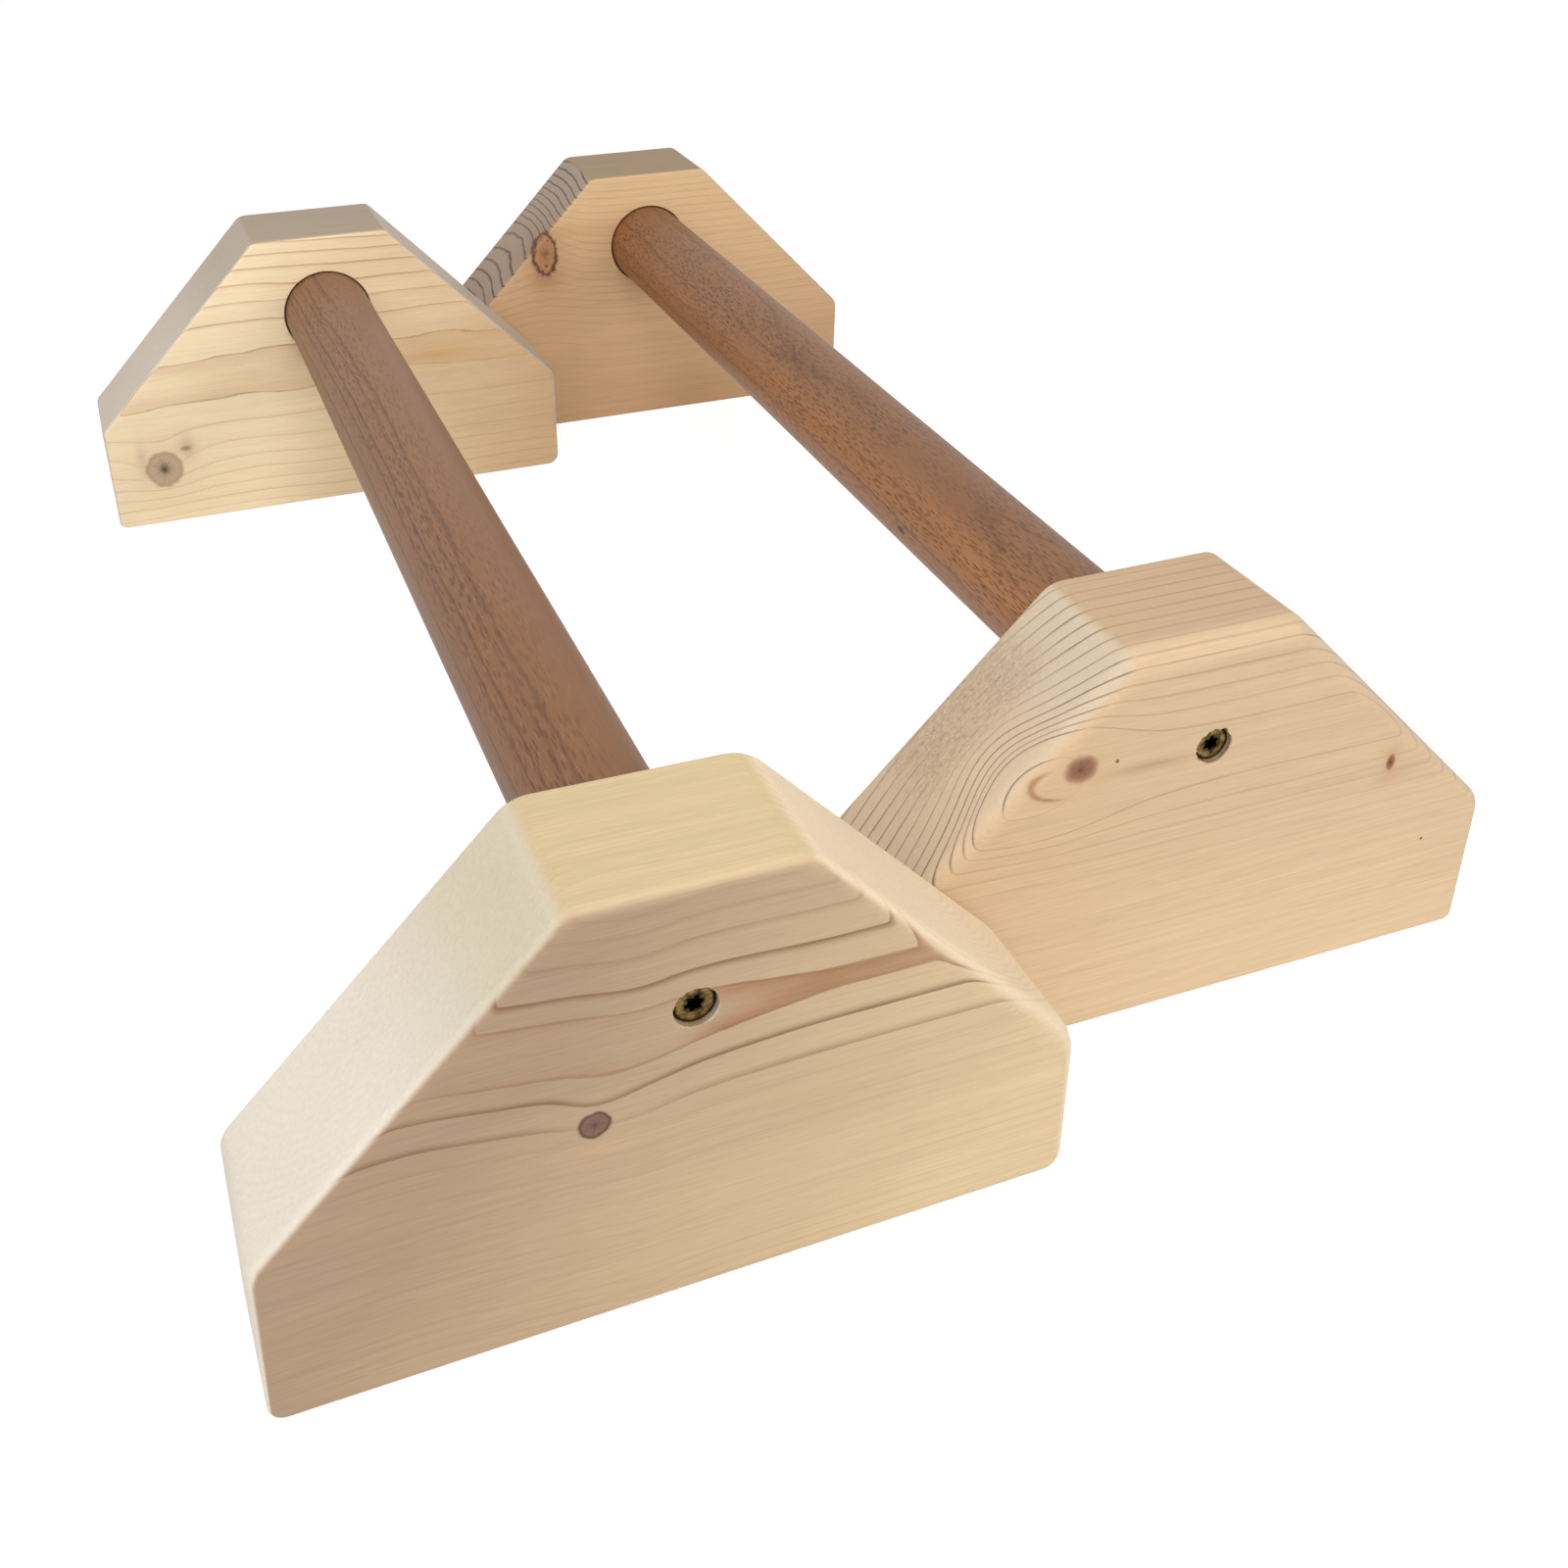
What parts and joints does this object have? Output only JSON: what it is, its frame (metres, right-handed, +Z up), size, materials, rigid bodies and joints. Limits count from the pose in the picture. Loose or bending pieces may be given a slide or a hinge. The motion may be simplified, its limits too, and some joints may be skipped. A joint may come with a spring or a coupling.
{
  "type": "parallette bars",
  "caption": "Low wooden parallettes: round hardwood grips screwed between thick block feet with chamfered shoulders, set down side by side.",
  "frame": {"origin": "on the floor, under the middle of the pair", "axes": "+X across the bars to the right, +Y along the bars to the rear, +Z up"},
  "size_m": [0.36, 0.5544, 0.12],
  "materials": {
    "pine": "sanded, unvarnished softwood",
    "beech": "sanded steamed beech",
    "screw_steel": "yellow zinc plated"
  },
  "bodies": {
    "left_parallette": {"left_front_foot": "pine", "left_rear_foot": "pine", "left_bar": "beech", "left_front_screw": "screw_steel", "left_rear_screw": "screw_steel"},
    "right_parallette": {"right_front_foot": "pine", "right_rear_foot": "pine", "right_bar": "beech", "right_front_screw": "screw_steel", "right_rear_screw": "screw_steel"}
  },
  "joints": [
    {"name": "set_apart", "type": "slide", "parent": "left_parallette", "child": "right_parallette", "axis": [1, 0, 0], "range_m": [0, 0.3]}
  ]
}
